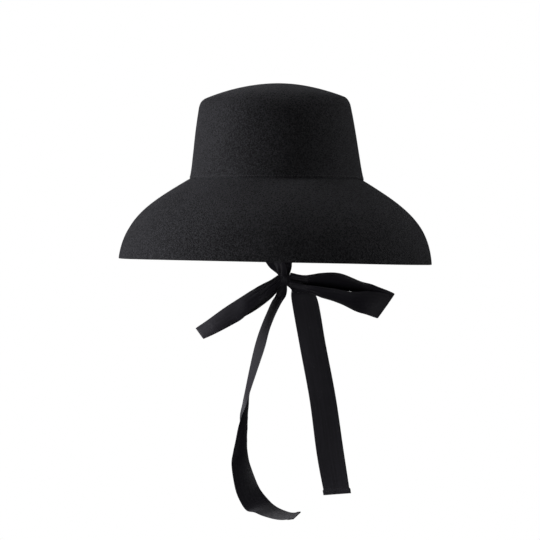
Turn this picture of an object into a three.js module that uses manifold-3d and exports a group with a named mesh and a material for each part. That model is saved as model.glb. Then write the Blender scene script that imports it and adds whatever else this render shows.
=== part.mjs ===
// A wide-brimmed felt hat with two ribbon ties, knotted in a bow under the brim.
//
// Frame: millimetres, +Z up, front of the hat at -Y. Left and right are as seen from the front, so
// +X is to the right. The origin is the middle of the head opening, at the seam of crown and brim.
//
// The hat is two pressed felt shells. The brim turns up inside the crown in a short collar, and the
// crown's cut edge sits on the brim's shoulder. Both are turned on a lathe as round profiles, pulled
// out to an oval, and set a little askew.
// The ribbons are flat strips carried through short tables of sections. They run from the inside of
// the collar down to the knot, and from the knot out into two loops and two tails.

import * as THREE from 'three';
import Module from 'manifold-3d';
import { mergeVertices } from 'three/addons/utils/BufferGeometryUtils.js';

const wasm = await Module();
wasm.setup();

// ---------------------------------------------------------------- driving dimensions

const FELT = 2.4; // wall of the pressed felt
const GAP = 0.3; // clearance kept between neighbouring pieces
const ROUND_STEPS = 56; // facets round the hat
const BRIM_STEPS = 12; // facets from the seam to the brim's edge

const BASE_HALF_WIDTH = 87.2; // outside of the crown at the seam, side to side
const OVAL = 16.5; // how much further the hat reaches to the front and back than to the sides

const CROWN_HEIGHT = 95.5;
const BRIM_HALF_WIDTH = 156.9;
const BRIM_DROP = 82.5; // from the seam down to the brim's cut edge
const BRIM_START = { radius: 85.87, slope: 31.8, handle: 44.5 };
const BRIM_END = { slope: 84.4, handle: 43.2 };
const COLLAR_HEIGHT = 10;
// The collar's outer face, in from the crown's: a felt, the gap and a little for the facets.
const COLLAR_INSET = 2.75;
const SHOULDER_HEIGHT = 0.88; // where the collar meets the brim's upper face

const RIBBON_WIDTH = 28;
const RIBBON_THICKNESS = 1;
const RIBBON_SIDE_STEPS = 2; // facets across a ribbon
const RIBBON_LENGTH_STEPS = { strap: 16, loop: 44, curledTail: 36, straightTail: 20 };
const WALL_BULGE = 1.45; // how far the round wall falls away across a flat ribbon, with some room
const KNOT = { x: 9.3, y: 0, z: -100.3, halfWidth: 7.4, halfDepth: 6.4, halfHeight: 6.8 };
const KNOT_STEPS = { round: 16, height: 12 };
const FLARE_SAMPLES = 40; // points along the crown's flare that its radius is read from
const SAME_PLACE = 1e-4; // corners closer together than this are one

// How the hat sits askew. At each height: how far level lines rise to the right, in degrees, and how
// far the hat is shifted to the right.
const SKEW = [
  { height: -82.5, tilt: 0, shift: 0 },
  { height: -50, tilt: 0.5, shift: 0.45 },
  { height: 0, tilt: 0.5, shift: 0 },
  { height: 18, tilt: 2, shift: -1.1 },
  { height: 78, tilt: 2, shift: -3.8 },
  { height: 96, tilt: 2, shift: -2.6 },
];

// Outside of the crown from the seam to the top, as curves that each bend towards one point.
const CROWN_START = { radius: 87.25, height: -0.45 };
const CROWN_CURVES = [
  { name: 'flare at the seam', bendRadius: 84.9, bendHeight: 9, radius: 84.1, height: 18, steps: 3 },
  { name: 'wall', bendRadius: 81.5, bendHeight: 45, radius: 76.2, height: 71.3, steps: 4 },
  { name: 'rounded corner', bendRadius: 74.6, bendHeight: 79.1, radius: 69.3, height: 81.3, steps: 3 },
  { name: 'dome', bendRadius: 34, bendHeight: CROWN_HEIGHT, radius: 0, height: CROWN_HEIGHT, steps: 4 },
];

// Ribbon sections, in order along each strip. x, y, z is the middle of the ribbon. across is the
// direction of its width in the front view, in degrees up from +X, and turn is how far its width is
// turned out of that view, towards +Y. width narrows where the ribbon is gathered into the knot,
// and is a little more at the right loop's fold, which lies askew. arch is how far the middle of the
// width stands off the line between its edges, where it does.
const LOOP_RIGHT = [
  { x: 15, y: 1.5, z: -98, across: 82, turn: -38, width: 9 },
  { x: 28, y: 1.5, z: -101.6, across: 80, turn: -48, width: 15, arch: 1.4 },
  { x: 44, y: 1.5, z: -100.8, across: 74, turn: -50, width: 25, arch: 2.7 },
  { x: 62.5, y: 1.5, z: -101.6, across: 73, turn: -50, width: RIBBON_WIDTH, arch: 4 },
  { x: 85.3, y: 1, z: -106.75, across: 68, turn: -64, width: RIBBON_WIDTH, arch: 3.2 },
  { x: 97, y: -0.5, z: -115.4, across: 60, turn: -28, width: 26.3, arch: 1.5 },
  { x: 112, y: -4, z: -124.6, across: 56, turn: 0, width: 29, arch: 0.2 },
  { x: 97, y: -5.5, z: -121.8, across: 60, turn: -9, width: 26, arch: 1.4 },
  { x: 77, y: -5, z: -119, across: 71, turn: -49, width: 25, arch: 4.6 },
  { x: 60, y: -4, z: -114.2, across: 71, turn: -59.5, width: 23.2, arch: 5.5 },
  { x: 42.5, y: -3.5, z: -109.8, across: 70, turn: -69, width: 21, arch: 5 },
  { x: 28, y: -3, z: -106.6, across: 68, turn: -68, width: 15, arch: 2.5 },
  { x: 14, y: -2, z: -103.5, across: 66, turn: -60, width: 7 },
];

const LOOP_LEFT = [
  { x: 5, y: -1.5, z: -99.5, across: -57, turn: -30, width: 8, arch: -1.5 },
  { x: -2.5, y: -2, z: -106.2, across: -60, turn: -40, width: 11.2, arch: -2.8 },
  { x: -14.5, y: -3, z: -114.6, across: -58, turn: -44, width: 18.8, arch: -3.5 },
  { x: -27.7, y: -4, z: -124.9, across: -57, turn: -47, width: 23.4, arch: -4 },
  { x: -36.6, y: -4.5, z: -132.4, across: -57, turn: -46, width: 26.6, arch: -3.5 },
  { x: -46.2, y: -5, z: -138.7, across: -57, turn: -45, width: 25.4, arch: -2.9 },
  { x: -62.7, y: -6, z: -149.5, across: -54, turn: -54, width: 25.6, arch: -2.2 },
  { x: -73.7, y: -5.5, z: -156, across: -50, turn: -62, width: 27 },
  { x: -62.7, y: -4, z: -149.9, across: -54, turn: -63, width: RIBBON_WIDTH, arch: -1.7 },
  { x: -46.2, y: -1.5, z: -139.4, across: -56, turn: -61, width: RIBBON_WIDTH, arch: -2 },
  { x: -25.5, y: -0.5, z: -127.5, across: -57, turn: -60, width: RIBBON_WIDTH, arch: -2 },
  { x: -11.5, y: 0.5, z: -118.2, across: -57, turn: -61, width: 26, arch: -1.3 },
  { x: -0.3, y: 1, z: -110.2, across: -58, turn: -60, width: 18, arch: -0.7 },
  { x: 5.5, y: 1.5, z: -103, across: -60, turn: -50, width: 7 },
];

const TAIL_LEFT = [
  { x: 9, y: -1, z: -104.5, across: -16, turn: -32, width: 6 },
  { x: 8, y: -2, z: -112, across: -15, turn: -50, width: 10 },
  { x: 4, y: -3, z: -120, across: -17, turn: -64, width: 20 },
  { x: -1.2, y: -4, z: -131, across: -20, turn: -72.5, width: RIBBON_WIDTH },
  { x: -8, y: -3.5, z: -148.5, across: -18, turn: -72, width: RIBBON_WIDTH },
  { x: -13.1, y: -3, z: -167, across: -17, turn: -69.5, width: RIBBON_WIDTH },
  { x: -18.95, y: -2, z: -189.5, across: -15, turn: -74, width: RIBBON_WIDTH, arch: 0.3 },
  { x: -24.6, y: -1, z: -212.5, across: -12, turn: -80, width: 27.7, arch: 1.3 },
  { x: -27.6, y: -1, z: -226, across: -9, turn: -81.6, width: 26.2, arch: 4.2 },
  { x: -30.9, y: -2, z: -238, across: -7, turn: -86, width: 23.2, arch: 7.2 },
  { x: -32.2, y: -3, z: -250, across: -6, turn: -97, width: 21, arch: 8.1 },
  { x: -31.4, y: -4, z: -262.5, across: -5, turn: -111, width: 22.5, arch: 7.2 },
  { x: -30.6, y: -6, z: -274, across: -2, turn: -124, width: 25, arch: 5.4 },
  { x: -29.9, y: -8, z: -285.5, across: 1, turn: -131, width: 27.2, arch: 3 },
  { x: -24.5, y: -13, z: -305, across: 10, turn: -141, width: RIBBON_WIDTH, arch: 0.4 },
  { x: -19.7, y: -17, z: -315.8, across: 26, turn: -144, width: RIBBON_WIDTH },
  { x: -12.9, y: -21, z: -324.4, across: 29, turn: -146, width: RIBBON_WIDTH },
  { x: -5.7, y: -26.5, z: -328, across: 20, turn: -135, width: RIBBON_WIDTH },
  { x: 3, y: -31, z: -331.8, across: 17, turn: -132, width: RIBBON_WIDTH },
  { x: 15.6, y: -38.5, z: -334.4, across: 25, turn: -118, width: RIBBON_WIDTH },
  { x: 27.1, y: -43, z: -333.1, across: 34, turn: -107.5, width: RIBBON_WIDTH },
];

const TAIL_RIGHT = [
  { x: 14, y: 4.4, z: -104, across: -8, turn: -20, width: 6 },
  { x: 24.4, y: 10.4, z: -111, across: 0, turn: -20, width: 16 },
  { x: 30.3, y: 13.5, z: -120.3, across: 9, turn: -18, width: 26.4 },
  { x: 39.8, y: 12, z: -166.5, across: 11, turn: -24, width: RIBBON_WIDTH },
  { x: 50.8, y: 12, z: -219, across: 11, turn: -22, width: RIBBON_WIDTH },
  { x: 59.4, y: 11, z: -272.5, across: 10, turn: -17, width: RIBBON_WIDTH },
  { x: 67.4, y: 9, z: -314.5, across: 7, turn: -25, width: RIBBON_WIDTH },
];

// The straps' lower ends. Their upper ends lie flat inside the collar and follow from its wall.
const STRAP_LEFT_END = [
  { x: -76, y: 0, z: -6, across: 41, turn: -90, width: RIBBON_WIDTH },
  { x: -64, y: 0, z: -19.5, across: 41, turn: -89, width: RIBBON_WIDTH },
  { x: -34, y: 0, z: -52, across: 42, turn: -80, width: RIBBON_WIDTH, arch: 0.2 },
  { x: -8, y: 0, z: -76, across: 40, turn: -66, width: 27, arch: 2 },
  { x: 2, y: -0.5, z: -86.3, across: 34, turn: -47, width: 20.6, arch: 2.5 },
  { x: 7.2, y: -1, z: -98, across: 24, turn: -45, width: 9.5, arch: 0.5 },
];

const STRAP_RIGHT_END = [
  { x: 76, y: 0, z: -6, across: -41, turn: -90, width: RIBBON_WIDTH },
  { x: 65, y: 0, z: -19.5, across: -41, turn: -90, width: RIBBON_WIDTH },
  { x: 38, y: 2, z: -50, across: -42, turn: -92, width: RIBBON_WIDTH },
  { x: 17.2, y: 5, z: -75, across: -30, turn: -104, width: 24 },
  { x: 11.8, y: 6, z: -87, across: -16, turn: -120, width: 16 },
  { x: 10.2, y: 3.8, z: -98, across: -8, turn: -135, width: 6 },
];

// ---------------------------------------------------------------- the hat's form

// Reach to the front and back of a point that is radius out to the side.
function frontReach(radius) {
  const stretch = (BASE_HALF_WIDTH + OVAL) / BASE_HALF_WIDTH;
  return radius < BASE_HALF_WIDTH ? radius * stretch : radius + OVAL;
}

// Moves a point of the even form to where it lies in the skewed hat.
function skewed(point) {
  const below = Math.max(SKEW.findLastIndex((row) => row.height <= point.z), 0);
  const low = SKEW[Math.min(below, SKEW.length - 2)];
  const high = SKEW[SKEW.indexOf(low) + 1];
  const share = THREE.MathUtils.clamp((point.z - low.height) / (high.height - low.height), 0, 1);
  const tilt = THREE.MathUtils.degToRad(THREE.MathUtils.lerp(low.tilt, high.tilt, share));
  const shift = THREE.MathUtils.lerp(low.shift, high.shift, share);
  return point.set(point.x + shift, point.y, point.z + point.x * Math.sin(tilt));
}

// A round lathe form, pulled to the hat's oval, stood up along +Z and set askew.
function hatShell(profile) {
  const geometry = new THREE.LatheGeometry(profile, ROUND_STEPS);
  const place = geometry.attributes.position;
  const point = new THREE.Vector3();
  for (let i = 0; i < place.count; i++) {
    const radius = Math.hypot(place.getX(i), place.getZ(i));
    const reach = radius > 0 ? frontReach(radius) / radius : 1;
    skewed(point.set(place.getX(i), -place.getZ(i) * reach, place.getY(i)));
    place.setXYZ(i, point.x, point.y, point.z);
  }
  return geometry;
}

// The same outline moved sideways by distance, to the right of its direction of travel.
function offsetOutline(points, distance) {
  return points.map((point, i) => {
    const before = points[Math.max(i - 1, 0)];
    const after = points[Math.min(i + 1, points.length - 1)];
    const along = after.clone().sub(before).normalize();
    return new THREE.Vector2(point.x + along.y * distance, point.y - along.x * distance);
  });
}

function crownOutline() {
  let start = new THREE.Vector2(CROWN_START.radius, CROWN_START.height);
  const points = [start];
  for (const row of CROWN_CURVES) {
    const bend = new THREE.Vector2(row.bendRadius, row.bendHeight);
    const end = new THREE.Vector2(row.radius, row.height);
    points.push(...new THREE.QuadraticBezierCurve(start, bend, end).getPoints(row.steps).slice(1));
    start = end;
  }
  return points;
}

// Outer radius of the crown at a height on its flare, near the seam.
function crownRadius(height) {
  const flare = CROWN_CURVES[0];
  const start = new THREE.Vector2(CROWN_START.radius, CROWN_START.height);
  const bend = new THREE.Vector2(flare.bendRadius, flare.bendHeight);
  const end = new THREE.Vector2(flare.radius, flare.height);
  const samples = new THREE.QuadraticBezierCurve(start, bend, end).getPoints(FLARE_SAMPLES);
  const above = samples.findIndex((sample) => sample.y >= height);
  const low = samples[above - 1];
  const high = samples[above];
  return THREE.MathUtils.mapLinear(height, low.y, high.y, low.x, high.x);
}

// The crown: its outline, and the inside a felt's thickness in. The cut edge slopes with the brim.
function crownGeometry() {
  const outside = crownOutline();
  const inside = offsetOutline(outside, -FELT);
  inside[0].set(BASE_HALF_WIDTH - FELT, SHOULDER_HEIGHT + GAP);
  inside[inside.length - 1].set(0, CROWN_HEIGHT - FELT);
  return hatShell([...inside.reverse(), ...outside]);
}

// The direction that goes outward and down at a slope, in degrees.
function downward(slope) {
  const angle = THREE.MathUtils.degToRad(slope);
  return new THREE.Vector2(Math.cos(angle), -Math.sin(angle));
}

// One face of the collar, from the shoulder up, inset from the crown's outer face.
function collarFace(inset, lowest) {
  return [lowest, COLLAR_HEIGHT / 2, COLLAR_HEIGHT].map(
    (height) => new THREE.Vector2(crownRadius(Math.max(height, 0)) - inset, height),
  );
}

// The brim: one curve from the seam to the cut edge, and the collar that stands inside the crown.
function brimGeometry() {
  const start = new THREE.Vector2(BRIM_START.radius, 0);
  const end = new THREE.Vector2(BRIM_HALF_WIDTH, -BRIM_DROP);
  const startHandle = start.clone().addScaledVector(downward(BRIM_START.slope), BRIM_START.handle);
  const endHandle = end.clone().addScaledVector(downward(BRIM_END.slope), -BRIM_END.handle);
  const sweep = new THREE.CubicBezierCurve(start, startHandle, endHandle, end);
  const upper = sweep.getPoints(BRIM_STEPS);
  const lower = offsetOutline(upper, FELT);
  const inner = collarFace(COLLAR_INSET + FELT, SHOULDER_HEIGHT - FELT / 2);
  const outer = collarFace(COLLAR_INSET, SHOULDER_HEIGHT);
  const profile = [...inner.reverse(), ...lower, ...upper.reverse(), ...outer];
  return hatShell([...profile, profile[0].clone()]);
}

// ---------------------------------------------------------------- the ribbons

// The arch at a share of a strip's rows, even between one row and the next.
function archAt(rows, share) {
  const run = share * (rows.length - 1);
  const before = Math.min(Math.floor(run), rows.length - 2);
  return THREE.MathUtils.lerp(rows[before].arch ?? 0, rows[before + 1].arch ?? 0, run - before);
}

// A strip through a table of sections: at each step its width lies across the path, turned as the
// rows say, and its thickness and arch stand square to both.
function ribbonGeometry(rows, lengthSteps) {
  const places = rows.map((row) => new THREE.Vector3(row.x, row.y, row.z));
  const turns = rows.map((row) => new THREE.Vector3(row.across, row.turn, row.width));
  const middle = new THREE.CatmullRomCurve3(places, false, 'catmullrom');
  const turning = new THREE.CatmullRomCurve3(turns, false, 'catmullrom');
  const geometry = new THREE.BoxGeometry(1, 1, 1, lengthSteps, 1, RIBBON_SIDE_STEPS);
  const place = geometry.attributes.position;
  for (let i = 0; i < place.count; i++) {
    const share = place.getX(i) + 0.5;
    const [across, turn, width] = turning.getPoint(share).toArray();
    const lie = THREE.MathUtils.degToRad(across);
    const out = THREE.MathUtils.degToRad(turn);
    const sideways = new THREE.Vector3(
      Math.cos(out) * Math.cos(lie),
      Math.sin(out),
      Math.cos(out) * Math.sin(lie),
    );
    const square = sideways.clone().cross(middle.getTangent(share)).normalize();
    const point = middle.getPoint(share);
    const bulge = archAt(rows, share) * (1 - (2 * place.getZ(i)) ** 2);
    point.addScaledVector(sideways, place.getZ(i) * width);
    point.addScaledVector(square, place.getY(i) * RIBBON_THICKNESS + bulge);
    place.setXYZ(i, point.x, point.y, point.z);
  }
  return geometry;
}

// The knot: a small rounded lump, grown by margin to cut room for itself.
function knotGeometry(margin) {
  const geometry = new THREE.SphereGeometry(1, KNOT_STEPS.round, KNOT_STEPS.height);
  geometry.rotateX(Math.PI / 2);
  geometry.scale(KNOT.halfWidth + margin, KNOT.halfDepth + margin, KNOT.halfHeight + margin);
  geometry.translate(KNOT.x, KNOT.y, KNOT.z);
  return geometry;
}

// A strap's sections: flat on the inside of the collar, then its own free stretch down to the knot.
function strapRows(side, lowerRows) {
  const clearOfWall = COLLAR_INSET + FELT + GAP + RIBBON_THICKNESS / 2 + WALL_BULGE;
  const seated = [COLLAR_HEIGHT - 1, COLLAR_HEIGHT / 4].map((height) => {
    const point = skewed(new THREE.Vector3(side * (crownRadius(height) - clearOfWall), 0, height));
    return { x: point.x, y: 0, z: point.z, across: lowerRows[0].across, turn: -90, width: RIBBON_WIDTH };
  });
  return [...seated, ...lowerRows];
}

// ---------------------------------------------------------------- joining and cutting

function toSolid(geometry) {
  const bare = geometry.clone();
  bare.deleteAttribute('normal');
  bare.deleteAttribute('uv');
  const merged = mergeVertices(bare, SAME_PLACE);
  return new wasm.Manifold(new wasm.Mesh({
    numProp: 3,
    vertProperties: new Float32Array(merged.attributes.position.array),
    triVerts: new Uint32Array(merged.index.array),
  }));
}

function toGeometry(solid) {
  const mesh = solid.getMesh();
  const geometry = new THREE.BufferGeometry();
  geometry.setAttribute('position', new THREE.BufferAttribute(new Float32Array(mesh.vertProperties), 3));
  geometry.setIndex(new THREE.BufferAttribute(new Uint32Array(mesh.triVerts), 1));
  return geometry;
}

const roomForKnot = toSolid(knotGeometry(GAP));

function ribbonAtKnot(rows, lengthSteps) {
  return toGeometry(toSolid(ribbonGeometry(rows, lengthSteps)).subtract(roomForKnot));
}

// ---------------------------------------------------------------- assembly

const felt = { color: 0x17181a, roughness: 0.95, metalness: 0 };
const ribbon = { color: 0x121214, roughness: 0.6, metalness: 0 };

const hat = new THREE.Group();

function addPiece(name, geometry, look) {
  const piece = new THREE.Mesh(geometry, new THREE.MeshStandardMaterial(look));
  piece.name = name;
  hat.add(piece);
}

addPiece('crown', crownGeometry(), felt);
addPiece('brim', brimGeometry(), felt);
addPiece('strap_left', ribbonAtKnot(strapRows(-1, STRAP_LEFT_END), RIBBON_LENGTH_STEPS.strap), ribbon);
addPiece('strap_right', ribbonAtKnot(strapRows(1, STRAP_RIGHT_END), RIBBON_LENGTH_STEPS.strap), ribbon);
addPiece('bow_knot', knotGeometry(0), ribbon);
addPiece('bow_loop_left', ribbonAtKnot(LOOP_LEFT, RIBBON_LENGTH_STEPS.loop), ribbon);
addPiece('bow_loop_right', ribbonAtKnot(LOOP_RIGHT, RIBBON_LENGTH_STEPS.loop), ribbon);
addPiece('tail_left', ribbonAtKnot(TAIL_LEFT, RIBBON_LENGTH_STEPS.curledTail), ribbon);
addPiece('tail_right', ribbonAtKnot(TAIL_RIGHT, RIBBON_LENGTH_STEPS.straightTail), ribbon);

export default hat;
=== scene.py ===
# %% [markdown]
# # A wide-brimmed felt hat with ribbon ties
#
# The construction model comes first: nine plain closed solids in one frame, in metres, with +Z up,
# the hat's front at -Y and the origin in the middle of the head opening, at the seam of crown and
# brim. This lesson covers each of them with a fine surface and gives it a finish. The hat is held
# up as a head holds it, so nothing of it touches the floor.

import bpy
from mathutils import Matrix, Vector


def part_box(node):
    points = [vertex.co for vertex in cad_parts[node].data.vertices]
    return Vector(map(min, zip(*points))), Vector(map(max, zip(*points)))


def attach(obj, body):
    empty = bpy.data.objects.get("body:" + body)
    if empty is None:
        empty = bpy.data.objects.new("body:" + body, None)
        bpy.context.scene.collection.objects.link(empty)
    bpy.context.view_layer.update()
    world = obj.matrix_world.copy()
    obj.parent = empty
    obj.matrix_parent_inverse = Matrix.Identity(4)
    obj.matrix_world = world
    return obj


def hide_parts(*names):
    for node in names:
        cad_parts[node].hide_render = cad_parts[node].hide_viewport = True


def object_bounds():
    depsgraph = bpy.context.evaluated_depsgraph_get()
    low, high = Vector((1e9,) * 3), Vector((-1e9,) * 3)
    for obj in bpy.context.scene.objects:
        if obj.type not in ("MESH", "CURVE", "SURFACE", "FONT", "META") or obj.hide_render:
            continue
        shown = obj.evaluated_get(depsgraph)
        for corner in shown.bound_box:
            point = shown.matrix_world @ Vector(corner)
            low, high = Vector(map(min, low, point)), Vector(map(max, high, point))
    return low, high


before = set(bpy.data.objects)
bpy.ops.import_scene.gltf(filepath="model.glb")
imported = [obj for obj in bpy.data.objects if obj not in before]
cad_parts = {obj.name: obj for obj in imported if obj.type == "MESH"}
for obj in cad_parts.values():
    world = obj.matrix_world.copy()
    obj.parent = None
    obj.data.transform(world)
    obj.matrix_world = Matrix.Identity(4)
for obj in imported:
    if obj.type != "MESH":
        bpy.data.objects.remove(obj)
construction_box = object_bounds()
print("solids:", ", ".join(sorted(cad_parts)))

# %% Numbers and curves that every piece uses
import math

import bpy
import numpy as np
from mathutils import Matrix

MM = 0.001
ROUND = 2 * math.pi


def bezier(handles, share):
    """Points on a Bezier curve: each handle weighted by n!/(k!(n-k)!) s^k (1-s)^(n-k)."""
    handles = np.asarray(handles, float)
    order = np.arange(len(handles))
    counts = np.array([math.comb(len(handles) - 1, k) for k in order])
    s = np.asarray(share, float)[:, None]
    return (counts * s**order * (1 - s) ** order[::-1]) @ handles


def smooth_step(value, low, high):
    """0 below low, 1 above high and 3t^2 - 2t^3 between them."""
    t = np.clip((value - low) / (high - low), 0, 1)
    return t * t * (3 - 2 * t)


def unit(vectors):
    """The same directions with length 1."""
    return vectors / np.linalg.norm(vectors, axis=-1, keepdims=True)


print("curves: Bezier and smooth step")

# %% [markdown]
# ## The floor, the lights and the camera
#
# The hat hangs at head height over a pale studio floor. Black felt shows its form only where light
# grazes it, so a lamp beside the camera would leave it flat. The strongest light is large and soft
# and stands low at the left, with a small one high above it. Another stands high at the right,
# behind the hat, and a weak one straight behind it. A weak light and a long reflector lie low in
# front, so that the front isn't lost in shade. The floor fades out into a white surround, so it
# has no horizon.

# %% Helpers for nodes, materials and meshes
SHARP_ANGLE = math.radians(50)  # faces that meet at more than this keep a sharp edge


def place(tree, kind, inputs=(), **settings):
    """Adds a node: settings are its own properties, and inputs are values or other nodes' outputs."""
    made = tree.nodes.new(kind)
    for key, value in settings.items():
        setattr(made, key, value)
    for key, value in dict(inputs).items():
        if isinstance(value, bpy.types.NodeSocket):
            tree.links.new(value, made.inputs[key])
        else:
            made.inputs[key].default_value = value
    return made


def new_material(name):
    """An empty node material and its tree."""
    material = bpy.data.materials.new(name)
    material.use_nodes = True
    material.node_tree.nodes.clear()
    return material, material.node_tree


def mesh_object(name, places, faces, uvs=None):
    """A mesh object from arrays of places and faces. A closed body whose volume, the sum of
    a . (b x c) / 6 over its triangles, comes out negative has its faces turned to point outwards."""
    mesh = bpy.data.meshes.new(name)
    faces = [face for group in faces for face in np.asarray(group).tolist()]
    mesh.from_pydata(np.asarray(places, float).reshape(-1, 3).tolist(), [], faces)
    mesh.polygons.foreach_set("use_smooth", np.ones(len(mesh.polygons), bool))
    if uvs is not None:
        corners = np.zeros(len(mesh.loops), np.int32)
        mesh.loops.foreach_get("vertex_index", corners)
        layer = mesh.uv_layers.new(name="ribbon_uv")
        layer.data.foreach_set("uv", np.asarray(uvs, np.float32).reshape(-1, 2)[corners].ravel())
    mesh.calc_loop_triangles()
    corners = np.zeros(len(mesh.loop_triangles) * 3, np.int32)
    mesh.loop_triangles.foreach_get("vertices", corners)
    a, b, c = np.moveaxis(np.asarray(places, float).reshape(-1, 3)[corners.reshape(-1, 3)], 1, 0)
    if np.einsum("nk,nk->", a, np.cross(b, c)) < 0:
        mesh.flip_normals()
    mesh.set_sharp_from_angle(angle=SHARP_ANGLE)
    mesh.validate()
    made = bpy.data.objects.new(name, mesh)
    bpy.context.scene.collection.objects.link(made)
    return made


print("helpers: place, new_material and mesh_object")

# %% A floor that fades into a white surround
AIR_UNDER_TAILS = 0.12
FLOOR_HEIGHT = construction_box[0].z - AIR_UNDER_TAILS
FLOOR_RADIUS = 1.2
FADE_START, FADE_END = 0.45 * FLOOR_RADIUS, 0.97 * FLOOR_RADIUS
FLOOR_GLOW = 0.6  # seen by the camera only, so the floor comes out nearly white

floor_turn = np.linspace(0, ROUND, 96, endpoint=False)
floor_x, floor_y = FLOOR_RADIUS * np.cos(floor_turn), FLOOR_RADIUS * np.sin(floor_turn)
floor_places = np.stack([floor_x, floor_y, 0 * floor_turn + FLOOR_HEIGHT], 1)
floor = mesh_object("studio_floor", floor_places, [np.arange(96)[None, :]])

floor_material, tree = new_material("pale studio floor")
where = place(tree, "ShaderNodeTexCoord")
level_place = place(
    tree, "ShaderNodeVectorMath", {0: where.outputs["Object"], 1: (1, 1, 0)}, operation="MULTIPLY"
)
reach = place(tree, "ShaderNodeVectorMath", {0: level_place.outputs[0]}, operation="LENGTH")
fade = place(
    tree,
    "ShaderNodeMapRange",
    {"Value": reach.outputs["Value"], "From Min": FADE_START, "From Max": FADE_END},
    interpolation_type="SMOOTHSTEP",
)
# It is clear at its rim, and all over when it is seen from below.
side = place(tree, "ShaderNodeNewGeometry")
hidden = place(
    tree,
    "ShaderNodeMath",
    {0: fade.outputs["Result"], 1: side.outputs["Backfacing"]},
    operation="MAXIMUM",
)
paint = place(tree, "ShaderNodeBsdfPrincipled", {"Base Color": (0.9, 0.9, 0.9, 1), "Roughness": 0.9})
seen = place(tree, "ShaderNodeLightPath")
tree.links.new(seen.outputs["Is Camera Ray"], paint.inputs["Emission Color"])
paint.inputs["Emission Strength"].default_value = FLOOR_GLOW
clear = place(tree, "ShaderNodeBsdfTransparent")
mixed = place(
    tree, "ShaderNodeMixShader", {0: hidden.outputs[0], 1: paint.outputs[0], 2: clear.outputs[0]}
)
place(tree, "ShaderNodeOutputMaterial", {"Surface": mixed.outputs[0]})
floor.data.materials.append(floor_material)
print(f"floor {FLOOR_RADIUS * 2:.1f} m across, {-FLOOR_HEIGHT:.2f} m under the head opening")

# %% The white surround
scene = bpy.context.scene
scene.view_settings.view_transform = "Standard"
world = bpy.data.worlds.new("white surround")
scene.world = world
world.use_nodes = True
tree = world.node_tree
tree.nodes.clear()
# The camera sees the surround, but it sends the hat no light: only the lamps do.
seen = place(tree, "ShaderNodeLightPath")
surround = place(
    tree, "ShaderNodeBackground", {"Color": (1, 1, 1, 1), "Strength": seen.outputs["Is Camera Ray"]}
)
place(tree, "ShaderNodeOutputWorld", {"Surface": surround.outputs[0]})
print("surround:", world.name)

# %% The soft studio lights
# Name, degrees round from the front to the right, degrees up, distance and size in m, power in W
# and colour.
LIGHTS = [
    ("light_left", -95, 10, 2.0, (1.6, 1.4), 31.3, (0.97, 0.96, 1.0)),
    ("light_left_high", -80, 40, 2.0, (0.8, 1.2), 4.6, (0.97, 0.96, 1.0)),
    ("light_right_back", 120, 40, 2.0, (0.8, 1.2), 10.7, (0.98, 0.98, 1.0)),
    ("light_behind", 180, 30, 2.0, (1.2, 1.0), 2.0, (0.98, 0.98, 1.0)),
    ("fill_front_low", 0, -20, 2.5, (2.0, 1.0), 2.7, (1.0, 1.0, 1.0)),
    ("reflector_front_low", 0, -14, 1.2, (1.6, 0.3), 1.7, (1.0, 1.0, 1.0)),
]

# An area lamp shines along its own -Z, so its +Z points away from the hat.
for name, azimuth, elevation, distance, size, power, colour in LIGHTS:
    turn, rise = math.radians(azimuth), math.radians(elevation)
    away = np.array([math.sin(turn) * math.cos(rise), -math.cos(turn) * math.cos(rise), math.sin(rise)])
    right = unit(np.cross([0, 0, 1], away))
    axes = np.stack([right, np.cross(away, right), away], 1)
    data = bpy.data.lights.new(name, "AREA")
    data.shape = "RECTANGLE"
    data.size, data.size_y = size
    data.energy = power
    data.color = colour
    lamp = bpy.data.objects.new(name, data)
    lamp.matrix_world = Matrix.Translation(away * distance) @ Matrix(axes.tolist()).to_4x4()
    lamp.visible_camera = False
    scene.collection.objects.link(lamp)
print("lights:", ", ".join(row[0] for row in LIGHTS))

# %% The camera
CAMERA_DISTANCE = 4.0
PICTURE_WIDTH = 0.540  # what the picture takes in at the hat
SENSOR = 36.0
EYE_OVER_BRIM_EDGE = 0.017
AIM = np.array([-0.0048, 0, -0.0911])
ROLL = math.radians(1.226)  # the camera leans, so the hat comes out a little lower at the right

eye = np.array([AIM[0], -CAMERA_DISTANCE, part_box("brim")[0].z + EYE_OVER_BRIM_EDGE])
forward = unit(AIM - eye)
level = unit(np.cross(forward, [0, 0, 1]))
upright = np.cross(level, forward)
right = math.cos(ROLL) * level + math.sin(ROLL) * upright
up = math.cos(ROLL) * upright - math.sin(ROLL) * level
camera_data = bpy.data.cameras.new("camera")
camera_data.sensor_width = SENSOR
camera_data.lens = SENSOR * CAMERA_DISTANCE / PICTURE_WIDTH
camera = bpy.data.objects.new("camera", camera_data)
axes = np.stack([right, up, -forward], 1)
camera.matrix_world = Matrix.Translation(eye) @ Matrix(axes.tolist()).to_4x4()
scene.collection.objects.link(camera)
scene.camera = camera
print(f"camera {CAMERA_DISTANCE:.1f} m in front, lens {camera_data.lens:.0f} mm")

# %% [markdown]
# ## What felt looks like
#
# Wool felt has no weave. Its fibres lie matted in every direction, so close up it is a fine speckle
# of slightly lighter and darker hairs, and from further off a soft cloudiness where the nap was
# brushed. It could be grown as hair, but a hat has millions of fibres, and nobody could tell them
# apart from here. Two noises in one node group give the speckle, the clouds and the height of the
# fibres, so colour and bump agree. The soft glow at grazing angles, from the hairs that stand up,
# is the shader's own sheen.

# %% A node group for matted fibres


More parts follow.
